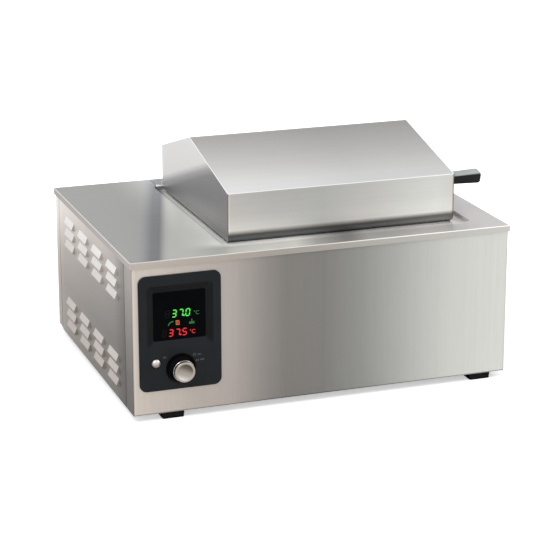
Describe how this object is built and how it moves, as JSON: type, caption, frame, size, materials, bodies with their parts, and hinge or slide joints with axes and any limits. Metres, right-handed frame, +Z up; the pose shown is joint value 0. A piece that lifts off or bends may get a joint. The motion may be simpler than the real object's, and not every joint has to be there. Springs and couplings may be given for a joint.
{
  "type": "laboratory water bath",
  "caption": "Bench water bath: brushed steel casing with control panel and side louvres, sunk tub under a hinged gable-roofed lid.",
  "frame": {"origin": "bench level under the middle of the overall box", "axes": "+Z up, front with the control panel faces -Y, louvred side faces -X"},
  "size_m": [0.584, 0.532, 0.35],
  "materials": {
    "sheet_steel": "brushed stainless sheet, fine grain",
    "lid_steel": "brushed stainless sheet, brighter",
    "tub_steel": "drawn stainless, satin",
    "inner_steel": "plain zinc-coated sheet",
    "bright_steel": "polished stainless",
    "screw_steel": "plated screws",
    "heater_mat": "silicone heating mat",
    "insulation_felt": "glass-fibre felt",
    "circuit_board": "green glass-fibre board",
    "spacer_brass": "plain brass",
    "transformer_iron": "varnished laminations",
    "relay_plastic": "black moulded plastic",
    "sink_aluminium": "extruded, plain",
    "terminal_plastic": "green moulded plastic",
    "bezel_plastic": "dark grey moulded plastic, satin",
    "display_glass": "smoked display window",
    "module_plastic": "black moulded plastic",
    "knob_plastic": "black plastic, satin",
    "cap_silver": "turned silver cap",
    "button_silver": "silver dome, satin",
    "inlet_plastic": "black moulded plastic",
    "inlet_metal": "tinned brass",
    "valve_brass": "nickel-plated brass",
    "lever_paint": "red dipped steel",
    "handle_plastic": "black heat-resistant plastic",
    "foot_rubber": "black rubber"
  },
  "bodies": {
    "casing": {"base_plate": "sheet_steel", "front_panel": "sheet_steel", "rear_panel": "sheet_steel", "louvred_side_panel": "sheet_steel", "right_side_panel": "sheet_steel", "top_deck": "sheet_steel", "rear_panel_screws": "screw_steel", "foot_screws": "screw_steel", "bath_tub": "tub_steel", "perforated_tray": "tub_steel", "left_heater": "heater_mat", "right_heater": "heater_mat", "bottom_heater": "heater_mat", "tub_insulation": "insulation_felt", "temperature_probe": "bright_steel", "level_probe": "bright_steel", "compartment_wall": "inner_steel", "power_board": "circuit_board", "power_board_spacers": "spacer_brass", "transformer": "transformer_iron", "power_relay": "relay_plastic", "heat_sink": "sink_aluminium", "terminal_block": "terminal_plastic", "control_bezel": "bezel_plastic", "display_window": "display_glass", "display_module": "module_plastic", "front_board": "circuit_board", "front_board_spacers": "spacer_brass", "front_board_screws": "screw_steel", "encoder_housing": "module_plastic", "button_switch": "relay_plastic", "mains_inlet": "inlet_plastic", "inlet_blades": "inlet_metal", "inlet_screws": "screw_steel", "drain_pipe": "bright_steel", "valve_body": "valve_brass", "hose_nozzle": "valve_brass", "left_hinge_bearing": "bright_steel", "right_hinge_bearing": "bright_steel", "front_left_foot": "foot_rubber", "front_right_foot": "foot_rubber", "rear_left_foot": "foot_rubber", "rear_right_foot": "foot_rubber"},
    "lid": {"lid_shell": "lid_steel", "lid_left_gable": "lid_steel", "lid_right_gable": "lid_steel", "lid_handle": "handle_plastic", "handle_washer": "screw_steel", "handle_screw": "screw_steel", "hinge_rod": "bright_steel"},
    "encoder": {"encoder_rotor": "module_plastic"},
    "knob": {"knob_shaft": "bright_steel", "knob_skirt": "knob_plastic", "knob_ring": "cap_silver", "knob_cap": "cap_silver"},
    "set_button": {"set_button": "button_silver"},
    "drain_lever": {"valve_ball": "bright_steel", "valve_stem": "bright_steel", "valve_lever": "lever_paint", "lever_nut": "screw_steel"}
  },
  "joints": [
    {"name": "lid_hinge", "type": "hinge", "parent": "casing", "child": "lid", "pos_m": [0.051, 0.144, 0.2388], "axis": [-1, 0, 0], "range_deg": [0, 90]},
    {"name": "knob_turn", "type": "hinge", "parent": "casing", "child": "encoder", "pos_m": [-0.218, -0.243, 0.0765], "axis": [0, 1, 0], "continuous": true},
    {"name": "knob_push", "type": "slide", "parent": "encoder", "child": "knob", "axis": [0, 1, 0], "range_m": [0, 0.004]},
    {"name": "set_button_press", "type": "slide", "parent": "casing", "child": "set_button", "axis": [0, 1, 0], "range_m": [0, 0.0015], "stiffness_N_per_m": 300},
    {"name": "drain_lever_turn", "type": "hinge", "parent": "casing", "child": "drain_lever", "pos_m": [0.151, 0.218, 0.045], "axis": [0, 0, -1], "range_deg": [0, 90]}
  ]
}
